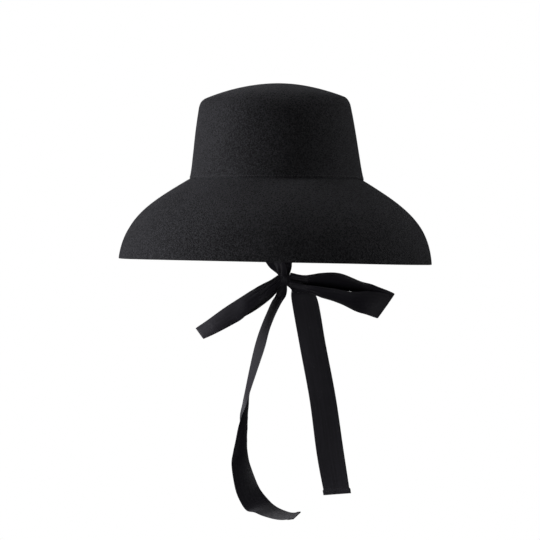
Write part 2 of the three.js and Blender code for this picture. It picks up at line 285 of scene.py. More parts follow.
def new_group(name, inputs, outputs):
    """An empty shader node group. inputs maps names to default values, and outputs names its results."""
    tree = bpy.data.node_groups.new(name, "ShaderNodeTree")
    for socket, value in inputs.items():
        kind = "NodeSocketVector" if socket == "Vector" else "NodeSocketFloat"
        made = tree.interface.new_socket(name=socket, in_out="INPUT", socket_type=kind)
        if value is not None:
            made.default_value = value
    for socket in outputs:
        tree.interface.new_socket(name=socket, in_out="OUTPUT", socket_type="NodeSocketFloat")
    return tree, tree.nodes.new("NodeGroupInput"), tree.nodes.new("NodeGroupOutput")


matted_fibres, into, out = new_group(
    "matted fibres",
    {"Vector": None, "Fibres per metre": 800.0, "Clouds per metre": 26.0},
    ["Tone", "Height"],
)
grain = place(
    matted_fibres,
    "ShaderNodeTexNoise",
    {"Vector": into.outputs["Vector"], "Scale": into.outputs["Fibres per metre"], "Distortion": 0.6},
)
grain.inputs["Detail"].default_value = 2.0
hairs = place(
    matted_fibres,
    "ShaderNodeMapRange",
    {"Value": grain.outputs["Fac"], "From Min": 0.36, "From Max": 0.66},
    interpolation_type="SMOOTHSTEP",
)
clouds = place(
    matted_fibres,
    "ShaderNodeTexNoise",
    {"Vector": into.outputs["Vector"], "Scale": into.outputs["Clouds per metre"], "Detail": 2.0},
)
drift = place(
    matted_fibres,
    "ShaderNodeMapRange",
    {"Value": clouds.outputs["Fac"], "From Min": 0.3, "From Max": 0.7},
)
tone = place(
    matted_fibres, "ShaderNodeMix", {0: 0.16, 2: hairs.outputs["Result"], 3: drift.outputs["Result"]},
    data_type="FLOAT",
)
matted_fibres.links.new(tone.outputs[0], out.inputs["Tone"])
matted_fibres.links.new(hairs.outputs["Result"], out.inputs["Height"])
print("group:", matted_fibres.name)

# %% The felt material
NAP_HEIGHT = 0.7 * MM
FELT_DARK, FELT_LIGHT = (0.013, 0.013, 0.0145), (0.080, 0.080, 0.087)
FELT_FINISH = {
    "Roughness": 0.95,
    "Specular IOR Level": 0.25,
    "Sheen Weight": 0.2,
    "Sheen Roughness": 0.28,
    "Sheen Tint": (0.5, 0.5, 0.53, 1),
}


def felt_material(name, fibres, clouds, dark, light):
    """Black wool felt: two near-black tones mixed by the fibres, which also raise the surface.

    fibres and clouds are how many of each there are to a metre."""
    material, tree = new_material(name)
    where = place(tree, "ShaderNodeTexCoord")
    nap = tree.nodes.new("ShaderNodeGroup")
    nap.node_tree = matted_fibres
    tree.links.new(where.outputs["Object"], nap.inputs["Vector"])
    nap.inputs["Fibres per metre"].default_value = fibres
    nap.inputs["Clouds per metre"].default_value = clouds
    tone = place(
        tree, "ShaderNodeMix", {0: nap.outputs["Tone"], 6: (*dark, 1), 7: (*light, 1)}, data_type="RGBA"
    )
    bump = place(
        tree, "ShaderNodeBump", {"Height": nap.outputs["Height"], "Strength": 0.8, "Distance": NAP_HEIGHT}
    )
    felt = place(
        tree,
        "ShaderNodeBsdfPrincipled",
        {"Base Color": tone.outputs[2], "Normal": bump.outputs[0], **FELT_FINISH},
    )
    place(tree, "ShaderNodeOutputMaterial", {"Surface": felt.outputs[0]})
    return material


crown_felt = felt_material("black felt of the crown", 820.0, 24.0, FELT_DARK, FELT_LIGHT)
brim_felt = felt_material("black felt of the brim", 760.0, 18.0, FELT_DARK, FELT_LIGHT)
print("materials:", crown_felt.name, "and", brim_felt.name)

# %% [markdown]
# ## The crown and the brim
#
# A hatter steams a felt cone over a wooden block and irons the brim on another. Both could be
# sculpted, or subdivided from a coarse cage. But a block is a turned shape that was pulled to a
# head's oval, so a profile carried round an oval path gives crown and brim exactly, with every
# size in plain sight. Felt shaped by hand is never quite even, so a few long, shallow swells are
# added, which die out at the seam, where crown and brim meet.

# %% The hat's oval and how it sits askew
SEAM_HALF_WIDTH = 87.2 * MM
BRIM_HALF_WIDTH = 156.9 * MM
OVAL = 16.5 * MM  # how much further the hat reaches to the front and back
FELT = 2.4 * MM
ROUND_STEPS = 360
# At each height in mm: how many degrees level lines rise to the right, and the shift there in mm.
SKEW = [
    {"height": -82.5, "tilt": 0, "shift": 0},
    {"height": -50, "tilt": 0.5, "shift": 0.45},
    {"height": 0, "tilt": 0.5, "shift": 0},
    {"height": 18, "tilt": 2, "shift": -1.1},
    {"height": 78, "tilt": 2, "shift": -3.8},
    {"height": 96, "tilt": 2, "shift": -2.6},
]
# The hand-sewn seam rises a little more to the right at the front. This fades out between two
# distances below the seam and two above it, and grows between two distances from the middle.
SEAM_WANDER = math.radians(0.6)
WANDER_BELOW, WANDER_ABOVE, WANDER_FRONT = (5 * MM, 25 * MM), (12 * MM, 40 * MM), (10 * MM, 60 * MM)
print(f"seam {SEAM_HALF_WIDTH * 2000:.1f} mm wide, brim {BRIM_HALF_WIDTH * 2000:.1f} mm")

# %% Helpers for shells


def fading(value, near, far):
    """1 up to near, 0 beyond far."""
    return smooth_step(-value, -far, -near)


def swells(places, seed, count, shortest, longest, height):
    """A smooth random field: height * (sum of sine waves) / sqrt(count / 2), where each wave has a
    random direction, length and phase, so height is about how far it usually swells."""
    draw = np.random.default_rng(seed)
    ways = unit(draw.normal(size=(count, 3)))
    lengths = draw.uniform(shortest, longest, count)
    phases = draw.uniform(0, ROUND, count)
    waves = np.sin(np.asarray(places) @ (ways * (ROUND / lengths)[:, None]).T + phases)
    return height * waves.sum(-1) / math.sqrt(count / 2)


def oval_shell(profile, steps=ROUND_STEPS):
    """A profile of (radius, height) carried round the hat's oval, or one profile for every turn.

    x = r sin t and y = -reach(r) cos t, where reach is r plus the oval outside the seam and r in
    proportion inside it. Then x moves by the shift, and z by x sin(tilt), of the skew at that height."""
    turn = np.linspace(0, ROUND, steps, endpoint=False)[:, None]
    radius, height = np.broadcast_to(profile, (steps, *profile.shape[-2:])).transpose(2, 0, 1)
    stretch = 1 + OVAL / SEAM_HALF_WIDTH
    reach = np.where(radius < SEAM_HALF_WIDTH, radius * stretch, radius + OVAL)
    x, y, z = radius * np.sin(turn), -reach * np.cos(turn), height + 0 * turn
    heights, tilts, shifts = (np.array([row[key] for row in SKEW]) for key in ("height", "tilt", "shift"))
    tilt = np.radians(np.interp(z, heights * MM, tilts))
    shift = np.interp(z, heights * MM, shifts * MM)
    near_seam = fading(-z, *WANDER_BELOW) * fading(z, *WANDER_ABOVE)
    wander = SEAM_WANDER * near_seam * smooth_step(-y, *WANDER_FRONT)
    return np.stack([x + shift, y, z + x * np.sin(tilt + wander)], -1)


def grid_faces(rows, columns, close_rows=True, close_columns=True):
    """Four corners of every cell of a grid of numbered places. Closing joins the last to the first."""
    number = np.arange(rows * columns).reshape(rows, columns)
    if close_rows:
        number = np.concatenate([number, number[:1]], 0)
    if close_columns:
        number = np.concatenate([number, number[:, :1]], 1)
    return np.stack([number[:-1, :-1], number[1:, :-1], number[1:, 1:], number[:-1, 1:]], -1).reshape(-1, 4)


def beside(profile, distance):
    """The same outline moved sideways by distance, to the right of its direction of travel."""
    along = unit(np.gradient(profile, axis=0))
    return profile + distance * np.stack([along[:, 1], -along[:, 0]], 1)


print(f"shells: {ROUND_STEPS} steps round, {OVAL * 1000:.1f} mm further to the front and back")

# %% The crown's profile
CROWN_START = np.array([87.2, -0.5]) * MM
CROWN_INNER_CORNER = np.array([84.8, 1.0]) * MM
# Outside of the crown from the seam to the top: where each curve bends to and ends, and its steps.
# Over the front and back the corner is blocked softer than over the sides.
CROWN_SIDE_CURVES = [
    {"name": "flare at the seam", "bend": (84.9, 9), "end": (84.1, 18), "steps": 18},
    {"name": "wall", "bend": (81.5, 45), "end": (76.2, 71.3), "steps": 34},
    {"name": "rounded corner", "bend": (74.6, 79.1), "end": (69.3, 81.3), "steps": 24},
    {"name": "dome", "bend": (34, 95.5), "end": (0, 95.5), "steps": 46},
]
CROWN_FRONT_CURVES = [
    {"name": "flare at the seam", "bend": (84.9, 9), "end": (84.1, 18), "steps": 18},
    {"name": "wall", "bend": (81.5, 45), "end": (77.2, 66), "steps": 34},
    {"name": "rounded corner", "bend": (74.2, 80.5), "end": (56, 87.1), "steps": 24},
    {"name": "dome", "bend": (34, 95.5), "end": (0, 95.5), "steps": 46},
]
EDGE_ROUND = 0.5 * MM  # how far a cut edge's rounding reaches
EDGE_STEPS = 6
INSIDE_ENDS = 2 * MM  # the crown's inside stops at this height and turns to the cut edge


def crown_outline(curves):
    """The curves one after the other, each a three-handle Bezier."""
    start, pieces = CROWN_START, [CROWN_START[None, :]]
    for row in curves:
        bend, end = np.array(row["bend"]) * MM, np.array(row["end"]) * MM
        pieces.append(bezier([start, bend, end], np.linspace(0, 1, row["steps"] + 1)[1:]))
        start = end
    return np.concatenate(pieces)


def rounded_edge(start, tip, end):
    """A cut edge's corner: a three-handle Bezier without its first and last points."""
    return bezier([start, tip, end], np.linspace(0, 1, EDGE_STEPS + 1)[1:-1])


def crown_profile(curves):
    """The inside from the top down, a felt's thickness in, the cut edge, and the outside up again."""
    outside = crown_outline(curves)
    inside = beside(outside, -FELT)
    inside[-1] = outside[-1] - [0, FELT]
    inside = inside[inside[:, 1] > INSIDE_ENDS]
    along_cut = unit(CROWN_START - CROWN_INNER_CORNER)
    inner_end = CROWN_INNER_CORNER + along_cut * EDGE_ROUND
    outer_end = CROWN_START - along_cut * EDGE_ROUND
    return np.concatenate(
        [
            inside[::-1],
            rounded_edge(inside[0], CROWN_INNER_CORNER, inner_end),
            rounded_edge(outer_end, CROWN_START, outside[1]),
            outside[1:],
        ]
    )


side_profile, front_profile = crown_profile(CROWN_SIDE_CURVES), crown_profile(CROWN_FRONT_CURVES)
outside = crown_outline(CROWN_SIDE_CURVES)
print(f"crown profiles: {len(side_profile)} points, {outside[-1, 1] * 1000:.1f} mm high")

# %% The crown's mesh
CROWN_MIDDLE = np.array([0, 0, 30 * MM])  # the swells push away from here
CROWN_SWELLS = {"seed": 11, "count": 14, "shortest": 55 * MM, "longest": 150 * MM, "height": 0.28 * MM}
CROWN_SWELLS_GROW = (4 * MM, 30 * MM)  # from none to full, by height over the seam


def crown_mesh():
    """The shell carried round, with each end of the profile drawn together in one place on the axis.

    The profile at turn t is side + (front - side) cos^2 t."""
    frontness = np.cos(np.linspace(0, ROUND, ROUND_STEPS, endpoint=False))[:, None, None] ** 2
    profile = side_profile + (front_profile - side_profile) * frontness
    shell = oval_shell(profile[:, 1:-1])
    columns = shell.shape[1]
    push = swells(shell, **CROWN_SWELLS) * smooth_step(shell[..., 2], *CROWN_SWELLS_GROW)
    shell = shell + unit(shell - CROWN_MIDDLE) * push[..., None]
    poles = oval_shell(side_profile[[0, -1]], 1)[0]
    places = np.concatenate([shell.reshape(-1, 3), poles])
    faces = grid_faces(ROUND_STEPS, columns, close_columns=False)
    first = np.arange(ROUND_STEPS) * columns
    below = np.stack([first, np.full(ROUND_STEPS, len(places) - 2), np.roll(first, -1)], 1)
    above = np.stack([np.roll(first, -1), np.full(ROUND_STEPS, len(places) - 1), first], 1)
    above[:, [0, 2]] += columns - 1
    return places, [faces, below, above]


def finished(piece, material, slot, *nodes):
    """The piece takes its material, rides on the hat and stands for its solids."""
    piece.data.materials.append(material)
    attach(piece, "root")
    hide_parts(*nodes)
    corners = np.zeros(len(piece.data.vertices) * 3, np.float32)
    piece.data.vertices.foreach_get("co", corners)
    wide, deep, high = np.ptp(corners.reshape(-1, 3), axis=0) * 1000
    print(f"{piece.name}: {len(piece.data.polygons)} faces, {wide:.0f} x {deep:.0f} x {high:.0f} mm")
    return piece


crown = finished(mesh_object("felt_crown", *crown_mesh()), crown_felt, "felt", "crown")

# %% The brim's profile
BRIM_DROP = 82.5 * MM
BRIM_START = {"radius": 85.87 * MM, "slope": 31.8, "handle": 44.5 * MM}
BRIM_END = {"slope": 84.4, "handle": 43.2 * MM}
COLLAR_HEIGHT = 10 * MM
COLLAR_INSET = 2.75 * MM
COLLAR_STEPS = 10
COLLAR_INSIDE_FROM, COLLAR_OUTSIDE_FROM = 1.5 * MM, 1.6 * MM
COLLAR_BEND = 2.6 * MM  # how far down its inside is pulled before it turns out under the brim
SHOULDER_HEIGHT = 0.88 * MM
BRIM_STEPS = 112
BRIM_CROWDING = 1.25  # over 1, the profile's points stand closer together at the seam
BRIM_EDGE_ROUND = 1.6 * EDGE_ROUND
SEAM_GROOVE = {"radius": 88.0 * MM, "reach": 1.2 * MM, "depth": 0.15 * MM}  # pressed in by the stitching


def downward(slope):
    """The direction that goes outward and down at a slope in degrees."""
    return np.array([math.cos(math.radians(slope)), -math.sin(math.radians(slope))])


def crown_radius(height):
    """Outer radius of the crown at a height near the seam."""
    return np.interp(np.maximum(height, 0), outside[:, 1], outside[:, 0])


def collar_face(inset, lowest):
    """One face of the collar that stands inside the crown, from the shoulder up."""
    height = np.linspace(lowest, COLLAR_HEIGHT - EDGE_ROUND, COLLAR_STEPS)
    return np.stack([crown_radius(height) - inset, height], 1)


def brim_profile():
    """A four-handle Bezier for the upper face, its copy a felt's thickness below, and the collar.

    The groove lowers the upper face by depth * exp(-((r - radius) / reach)^2)."""
    start = np.array([BRIM_START["radius"], 0])
    end = np.array([BRIM_HALF_WIDTH, -BRIM_DROP])
    handles = [
        start,
        start + downward(BRIM_START["slope"]) * BRIM_START["handle"],
        end - downward(BRIM_END["slope"]) * BRIM_END["handle"],
        end,
    ]
    share = np.linspace(0, 1, BRIM_STEPS + 1) ** BRIM_CROWDING
    upper = bezier(handles, share)
    lower = beside(upper, FELT)
    from_groove = (upper[:, 0] - SEAM_GROOVE["radius"]) / SEAM_GROOVE["reach"]
    upper[:, 1] -= SEAM_GROOVE["depth"] * np.exp(-(from_groove**2))
    edge_top, edge_low = upper[-1], lower[-1]
    upper, lower = upper[:-1], lower[:-1]
    cut = unit(edge_top - edge_low) * BRIM_EDGE_ROUND
    inner = collar_face(COLLAR_INSET + FELT, COLLAR_INSIDE_FROM)[::-1]
    outer = collar_face(COLLAR_INSET, COLLAR_OUTSIDE_FROM)
    top_inner = np.array([inner[0, 0], COLLAR_HEIGHT])
    top_outer = np.array([outer[-1, 0], COLLAR_HEIGHT])
    side = np.array([EDGE_ROUND, 0])
    bend = rounded_edge(inner[-1], inner[-1] - [0, COLLAR_BEND], lower[0])
    shoulder = bezier([upper[0], [outer[0, 0], SHOULDER_HEIGHT], outer[0]], np.linspace(0, 1, 6)[1:-1])
    return np.concatenate(
        [
            inner,
            bend,
            lower,
            rounded_edge(lower[-1], edge_low, edge_low + cut),
            rounded_edge(edge_top - cut, edge_top, upper[-1]),
            upper[::-1],
            shoulder,
            outer,
            rounded_edge(outer[-1], top_outer, top_outer - side),
            rounded_edge(top_inner + side, top_inner, inner[0]),
        ]
    )


print(f"brim profile: {len(brim_profile())} points, {BRIM_DROP * 1000:.1f} mm deep")

# %% The brim's mesh
BRIM_LEAN = [0, 0, 40 * MM]  # the swells push outwards, and up by this much at the same time
BRIM_SWELLS = {"seed": 5, "count": 12, "shortest": 90 * MM, "longest": 220 * MM, "height": 0.45 * MM}
BRIM_SWELLS_GROW = (3 * MM, 60 * MM)  # from none to full, by depth under the seam


def brim_mesh():
    """The closed profile carried round, with swells that grow from the seam to the edge."""
    shell = oval_shell(brim_profile())
    push = swells(shell, **BRIM_SWELLS) * smooth_step(-shell[..., 2], *BRIM_SWELLS_GROW)
    shell = shell + unit(shell * [1, 1, 0] + BRIM_LEAN) * push[..., None]
    return shell, [grid_faces(ROUND_STEPS, shell.shape[1])]


brim = finished(mesh_object("felt_brim", *brim_mesh()), brim_felt, "felt", "brim")

# %% [markdown]
# ## The seam
#
# The crown's cut edge lies on the brim's shoulder and is sewn down to the collar behind it. A row of
# short stitches runs round just over the edge, each pressed a little into the felt. A bump in the
# felt could stand for them, but it would vanish from the side. So one stitch is a small rounded
# grain with few faces, worked out once and carried to every place as one joined mesh.

# %% A row of stitches as one joined mesh
GRAIN_SIDES = 8
GRAIN_RINGS = np.radians([-50, -15, 20, 55])  # heights of its rings of corners, as on a globe


def stitch_row(centres, along, outward, length, width, height):
    """Rounded grains at centres: along cos a cos b, across sin a cos b and outward sin b, scaled."""
    turn = np.linspace(0, ROUND, GRAIN_SIDES, endpoint=False)[:, None]
    rings = len(GRAIN_RINGS)
    reach = np.cos(GRAIN_RINGS)
    grain = np.stack([np.cos(turn) * reach, np.sin(turn) * reach, 0 * turn + np.sin(GRAIN_RINGS)], -1)
    grain = np.concatenate([grain.reshape(-1, 3), [[0, 0, -1], [0, 0, 1]]])
    grain = grain * [length / 2, width / 2, height / 2]
    axes = np.stack([along, np.cross(outward, along), outward], 1)
    places = centres[:, None] + np.einsum("kj,njc->nkc", grain, axes)
    first = np.arange(GRAIN_SIDES) * rings
    following = np.roll(first, -1)
    bottom, top = np.full((2, GRAIN_SIDES), [[GRAIN_SIDES * rings], [GRAIN_SIDES * rings + 1]])
    cells = grid_faces(GRAIN_SIDES, rings, close_columns=False)
    low = np.stack([first, bottom, following], 1)
    high = np.stack([following + rings - 1, top, first + rings - 1], 1)
    shift = (np.arange(len(centres)) * len(grain))[:, None, None]
    return places, [(group[None] + shift).reshape(-1, group.shape[1]) for group in (cells, low, high)]


print(f"a stitch: {GRAIN_SIDES} sides, {len(GRAIN_RINGS)} rings")

# %% The stitches of the seam
SEAM_STITCH_PITCH = 2.75 * MM
SEAM_STITCH = {"length": 1.7 * MM, "width": 0.8 * MM, "height": 0.7 * MM}
STITCHES_OVER_EDGE = 1.8 * MM  # how far over the crown's cut edge they run
MEASURING_STEPS = 2880  # round the crown, to measure its girth


def seam_stitches():
    """Stitches at even distances round the crown's oval, just over its cut edge."""
    line = np.array([[crown_radius(STITCHES_OVER_EDGE), STITCHES_OVER_EDGE]])
    fine = oval_shell(line, MEASURING_STEPS)[:, 0]
    steps = np.linalg.norm(np.diff(fine, axis=0, append=fine[:1]), axis=1)
    run = np.concatenate([[0], np.cumsum(steps)])
    count = round(run[-1] / SEAM_STITCH_PITCH)
    spots = (np.arange(count) + 0.5) / count * run[-1]
    looped = np.concatenate([fine, fine[:1]])
    centres = np.stack([np.interp(spots, run, looped[:, k]) for k in range(3)], 1)
    along = unit(np.roll(centres, -1, 0) - np.roll(centres, 1, 0))
    outward = unit(np.cross(along, [0, 0, 1]))
    return stitch_row(centres, along, outward, **SEAM_STITCH)


thread_material, tree = new_material("black sewing thread")
thread = place(
    tree, "ShaderNodeBsdfPrincipled", {"Base Color": (0.065, 0.065, 0.07, 1), "Roughness": 0.4}
)
place(tree, "ShaderNodeOutputMaterial", {"Surface": thread.outputs[0]})
seam = mesh_object("seam_stitches", *seam_stitches())
seam.data.materials.append(thread_material)
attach(seam, "root")
print(f"{seam.name}: {len(seam.data.polygons)} faces")

# %% [markdown]
# ## The ribbons
#
# The ties are two lengths of flat black ribbon, 28 mm wide. Each is sewn inside the collar, runs
# down to the bow and ends in a tail. Cloth simulation could hang them, but it would not tie this
# bow. So a ribbon is a strip carried along a path: a table gives the middle of the strip, the way
# its width lies and how wide it is, and a smooth curve passes through all of these at once. Where
# the ribbon is drawn together at the knot its cloth is not lost, so it folds into pleats whose
# depth follows from the width that is missing.
#
# The ribbon's weave has fine ribs from edge to edge and faint streaks along its length, and black
# cloth never stays free of lint. The pattern follows the cloth and not the room, so it reads the
# ribbon's own map, in metres along and across.

# %% A node group for woven ribs
ribbed_weave, into, out = new_group(
    "ribbed weave",
    {"Vector": None, "Ribs per metre": 2000.0, "Streaks per metre": 520.0},
    ["Tone", "Height"],
)
split = place(ribbed_weave, "ShaderNodeSeparateXYZ", {0: into.outputs["Vector"]})
rib = place(
    ribbed_weave,
    "ShaderNodeMath",
    {0: split.outputs["X"], 1: into.outputs["Ribs per metre"]},
    operation="MULTIPLY",
)
rib_turn = place(ribbed_weave, "ShaderNodeMath", {0: rib.outputs[0], 1: ROUND}, operation="MULTIPLY")
rib_wave = place(ribbed_weave, "ShaderNodeMath", {0: rib_turn.outputs[0]}, operation="SINE")
drawn_out = place(
    ribbed_weave,
    "ShaderNodeVectorMath",
    {0: into.outputs["Vector"], 1: (0.04, 1, 1)},
    operation="MULTIPLY",
)
streaks = place(
    ribbed_weave,
    "ShaderNodeTexNoise",
    {"Vector": drawn_out.outputs[0], "Scale": into.outputs["Streaks per metre"], "Detail": 2.0},
)
tone = place(
    ribbed_weave,
    "ShaderNodeMapRange",
    {"Value": streaks.outputs["Fac"], "From Min": 0.3, "From Max": 0.7},
    interpolation_type="SMOOTHSTEP",
)
ribbed_weave.links.new(tone.outputs[0], out.inputs["Tone"])
ribbed_weave.links.new(rib_wave.outputs[0], out.inputs["Height"])
print("group:", ribbed_weave.name)

# %% A node group for lint
lint, into, out = new_group("lint", {"Vector": None, "Specks per metre": 240.0, "Lint": 0.09}, ["Mask"])
wander = place(lint, "ShaderNodeTexNoise", {"Vector": into.outputs["Vector"], "Scale": 900.0})
bent = place(
    lint,
    "ShaderNodeMix",
    {0: 0.004, 4: into.outputs["Vector"], 5: wander.outputs["Color"]},
    data_type="VECTOR",
)
specks = place(
    lint, "ShaderNodeTexVoronoi", {"Vector": bent.outputs[1], "Scale": into.outputs["Specks per metre"]}
)
speck = place(
    lint,
    "ShaderNodeMath",
    {0: specks.outputs["Distance"], 1: into.outputs["Lint"]},
    operation="LESS_THAN",
)
lint.links.new(speck.outputs[0], out.inputs["Mask"])
print("group:", lint.name)

# %% The ribbon material
RIBBON_DARK, RIBBON_LIGHT = (0.024, 0.0222, 0.030), (0.034, 0.0312, 0.042)
LINT_GREY = (0.09, 0.09, 0.095)
RIB_HEIGHT = 0.05 * MM
ribbon_material, tree = new_material("black ribbon")
where = place(tree, "ShaderNodeUVMap", uv_map="ribbon_uv")
weave = tree.nodes.new("ShaderNodeGroup")
weave.node_tree = ribbed_weave
tree.links.new(where.outputs[0], weave.inputs["Vector"])
fluff = tree.nodes.new("ShaderNodeGroup")
fluff.node_tree = lint
tree.links.new(where.outputs[0], fluff.inputs["Vector"])
tone = place(
    tree,
    "ShaderNodeMix",
    {0: weave.outputs["Tone"], 6: (*RIBBON_DARK, 1), 7: (*RIBBON_LIGHT, 1)},
    data_type="RGBA",
)
colour = place(
    tree,
    "ShaderNodeMix",
    {0: fluff.outputs["Mask"], 6: tone.outputs[2], 7: (*LINT_GREY, 1)},
    data_type="RGBA",
)
bump = place(
    tree, "ShaderNodeBump", {"Height": weave.outputs["Height"], "Strength": 0.3, "Distance": RIB_HEIGHT}
)
cloth = place(
    tree, "ShaderNodeBsdfPrincipled", {"Base Color": colour.outputs[2], "Normal": bump.outputs[0]}
)
cloth.inputs["Roughness"].default_value = 0.5
cloth.inputs["Specular IOR Level"].default_value = 0.3
cloth.inputs["Sheen Weight"].default_value = 0.15
place(tree, "ShaderNodeOutputMaterial", {"Surface": cloth.outputs[0]})
print("material:", ribbon_material.name)

# %% A strip carried along a table of sections
RIBBON_WIDTH = 28 * MM
ACROSS_STEPS = 40
PLEATS = 4
PLEATS_FULL, PLEATS_END = 13 * MM, 24 * MM  # pleats die out between these widths


def sections(table):
    """A table's rows as numbers in metres and radians.

    A row holds x, y and z of the strip's middle in mm, how far its width is turned from x towards z
    and then towards y in degrees, and its width in mm."""
    return np.array(table, float) * [MM, MM, MM, math.radians(1), math.radians(1), MM]


def through_rows(rows, share):
    """A Catmull-Rom curve through the rows: between two rows, the cubic whose slope at each row is
    half the step from the row before it to the row after it."""
    rows = np.concatenate([[2 * rows[0] - rows[1]], rows, [2 * rows[-1] - rows[-2]]])
    run = np.clip(share, 0, 1) * (len(rows) - 3)
    start = np.minimum(run.astype(int), len(rows) - 4)
    t = (run - start)[:, None]
    before, here, there, after = (rows[start + k] for k in range(4))
    slope_here, slope_there = (there - before) / 2, (after - here) / 2
    return (
        here * (1 - 3 * t**2 + 2 * t**3)
        + there * (3 * t**2 - 2 * t**3)
        + slope_here * (t - 2 * t**2 + t**3)
        + slope_there * (t**3 - t**2)
    )


def strip(rows, steps, pleats=PLEATS, fold_at=0.0, fold=((0, 0), (1, 0)), curve=1.15):
    """The middle surface of a ribbon, as a grid: along its length by across its width.

    place = middle + width direction * v * width + square direction * (pleat + crease), with v from
    -1/2 to 1/2. A pleat is a wave of v whose depth is sqrt(full width^2 - width^2) / (4 pleats), which
    keeps the cloth's own width. It dies out where the strip is nearly full width again. The crease is
    one long fold, depth * (1 - u^curve), where u grows from 0 at v = fold_at to 1 at both edges: nearly
    sharp for a curve near 1 and an arch for 2. Its depth is given in mm at some shares of the length."""
    share = np.linspace(0, 1, steps + 1)
    found = through_rows(rows, share)
    middle, across, turn, width = found[:, :3], found[:, 3], found[:, 4], found[:, 5]
    sideways = np.stack([np.cos(turn) * np.cos(across), np.sin(turn), np.cos(turn) * np.sin(across)], 1)
    square = unit(np.cross(sideways, np.gradient(middle, axis=0)))
    v = np.linspace(-0.5, 0.5, ACROSS_STEPS + 1)
    missing = np.sqrt(np.maximum(RIBBON_WIDTH**2 - width**2, 0)) / (4 * pleats)
    missing = missing * fading(width, PLEATS_FULL, PLEATS_END)
    wave = np.cos(ROUND * pleats * v)
    depth = np.interp(share, *np.transpose(fold)) * MM
    from_ridge = np.where(v < fold_at, (fold_at - v) / (fold_at + 0.5), (v - fold_at) / (0.5 - fold_at))
    crease = 1 - from_ridge**curve
    return (
        middle[:, None]
        + sideways[:, None] * (v * width[:, None])[..., None]
        + square[:, None] * (missing[:, None] * wave + depth[:, None] * crease)[..., None]
    )


print(f"strips: {RIBBON_WIDTH * 1000:.0f} mm of cloth, {ACROSS_STEPS} steps across")

# %% A ribbon's body with its selvedges and hem
RIBBON_THICKNESS = 0.5 * MM
HEM = 5 * MM
HEM_THICKNESS = 1.1 * MM
HEM_SPREAD = 1.05  # a hem's width beside the ribbon's


def ribbon_mesh(sheet, hem=0.0):
    """A closed body round a middle surface: half the thickness to each side, and rounded selvedges.

    The loop of a section runs along the upper side, round the edge and back along the lower side.
    A hem is the last part, folded under: thicker, and a little wider than the ribbon."""
    steps, wide = sheet.shape[:2]
    length = np.concatenate([[0], np.cumsum(np.linalg.norm(np.diff(sheet.mean(1), axis=0), axis=1))])
    hemmed = (length > length[-1] - hem)[:, None, None]
    middle = sheet.mean(1, keepdims=True)
    sheet = middle + (sheet - middle) * np.where(hemmed, HEM_SPREAD, 1)
    thickness = np.where(hemmed[:, 0], HEM_THICKNESS, RIBBON_THICKNESS)
    square = unit(np.cross(np.gradient(sheet, axis=0), np.gradient(sheet, axis=1))) * thickness[:, None]
    upper, lower = sheet + square / 2, sheet - square / 2
    out_first = unit(sheet[:, 0] - sheet[:, 1]) * thickness / 2
    out_last = unit(sheet[:, -1] - sheet[:, -2]) * thickness / 2
    first_edge, last_edge = (sheet[:, 0] + out_first)[:, None], (sheet[:, -1] + out_last)[:, None]
    loop = np.concatenate([upper, last_edge, lower[:, ::-1], first_edge], 1)
    count = loop.shape[1]
    faces = grid_faces(steps, count, close_rows=False)
    top = np.arange(wide)
    under = 2 * wide - top
    cap = np.stack([top[:-1], top[1:], under[1:], under[:-1]], 1)
    tips = np.array([[wide - 1, wide, wide + 1], [2 * wide, 2 * wide + 1, 0]])
    last = (steps - 1) * count
    caps = [cap[:, ::-1], tips[:, ::-1], cap + last, tips + last]
    v = np.linspace(0, RIBBON_WIDTH, wide)
    loop_v = np.concatenate([v, [RIBBON_WIDTH], v[::-1], [0]])
    uvs = np.stack(np.broadcast_arrays(length[:, None], loop_v[None, :]), -1)
    return loop, [faces, *caps], uvs, length[-1]


def ribbon(name, table, node, steps, held, rests_on, hem=0.0, **shape):
    """A ribbon piece from its table, of the ribbon's width and its own length."""
    sheet = strip(sections(table), steps, **shape)
    places, faces, uvs, length = ribbon_mesh(sheet, hem)
    piece = finished(mesh_object(name, places, faces, uvs), ribbon_material, "ribbon", node)
    print(f"  cut from {length * 1000:.0f} mm of ribbon")
    return sheet


print(f"ribbons: {RIBBON_THICKNESS * 1000:.1f} mm thick, {HEM_THICKNESS * 1000:.1f} mm at a hem")

# %% Stitches across a ribbon
RIBBON_STITCH_PITCH = 2.2 * MM
RIBBON_STITCH = {"length": 1.6 * MM, "width": 0.45 * MM, "height": 0.4 * MM}


def stitched_across(name, sheet, distance, thickness):
    """A row of stitches across a ribbon on both its faces, at a distance from the sheet's last row."""
    steps = np.linalg.norm(np.diff(sheet.mean(1), axis=0), axis=1)
    row = np.searchsorted(-np.cumsum(steps[::-1])[::-1], -distance)
    line = sheet[row]
    spots = np.linspace(1, len(line) - 2, round(np.ptp(line, axis=0).max() / RIBBON_STITCH_PITCH))
    centres = np.stack([np.interp(spots, np.arange(len(line)), line[:, k]) for k in range(3)], 1)
    along = unit(np.gradient(centres, axis=0))
    outward = unit(np.cross(along, sheet[row].mean(0) - sheet[row - 1].mean(0)))
    both = np.concatenate([centres + outward * thickness / 2, centres - outward * thickness / 2])
    places, faces = stitch_row(both, np.tile(along, (2, 1)), np.tile(outward, (2, 1)), **RIBBON_STITCH)
    row_of_stitches = mesh_object(name, places, faces)
    row_of_stitches.data.materials.append(thread_material)
    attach(row_of_stitches, "root")
    print(f"{name}: {len(centres)} stitches a side")


print(f"stitches across a ribbon: one every {RIBBON_STITCH_PITCH * 1000:.1f} mm")

# %% [markdown]
# ## The straps
#
# A strap lies flat on the inside of the collar, where it is sewn on, and runs down behind the brim to
# the knot. Its first two rows could be measured by hand. They are worked out from the collar instead,
# so that the strap still lies on it when the hat changes. Near the bow the left strap is creased
# along its length, and the right one is drawn together and slips behind it.

